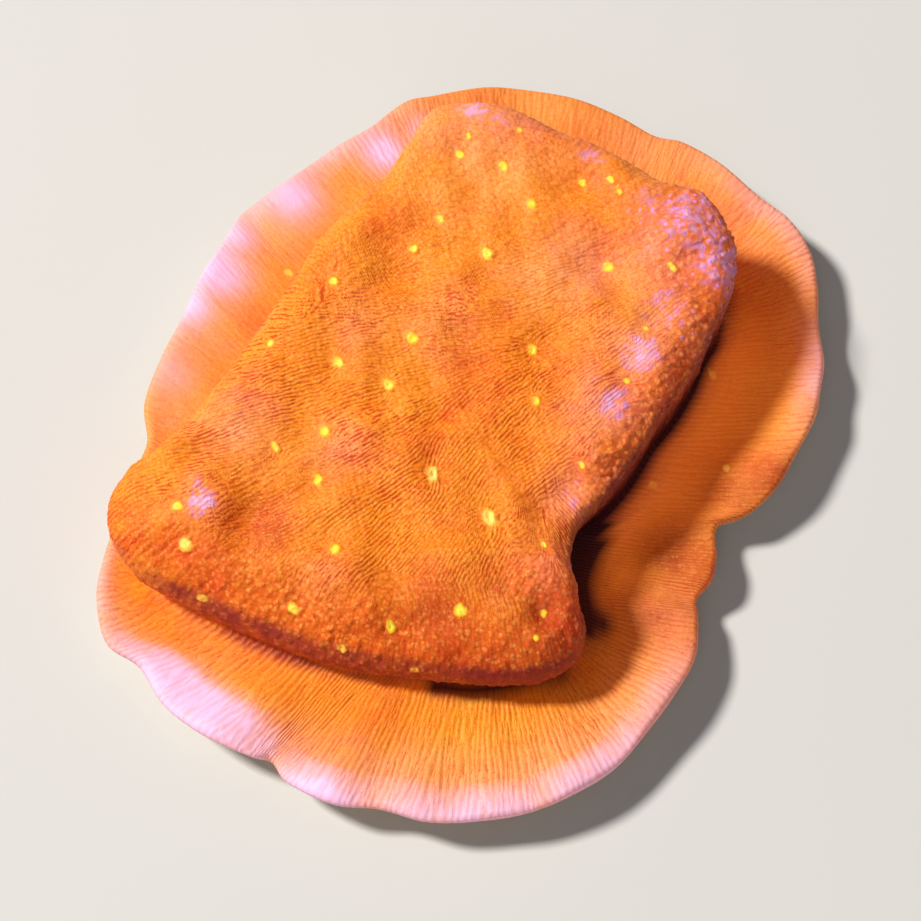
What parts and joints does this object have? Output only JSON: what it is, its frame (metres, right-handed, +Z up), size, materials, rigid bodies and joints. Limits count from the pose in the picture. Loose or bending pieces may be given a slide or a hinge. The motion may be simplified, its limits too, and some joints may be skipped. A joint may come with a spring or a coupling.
{
  "type": "encrusting plate coral colony",
  "caption": "Lumpy four-cornered block of encrusting coral with a thin wavy skirt round its foot, fine radiating ridges and small raised mouths.",
  "frame": {"origin": "middle of the colony's outline, on the flat cut it rests on", "axes": "+Z up out of the crown, +Y toward the colony's high back edge, +X toward its right side in the picture"},
  "size_m": [0.0503, 0.0565, 0.0131],
  "materials": {
    "tissue": "moist living tissue, soft sheen"
  },
  "bodies": {
    "root": {"colony": "tissue"}
  },
  "joints": []
}
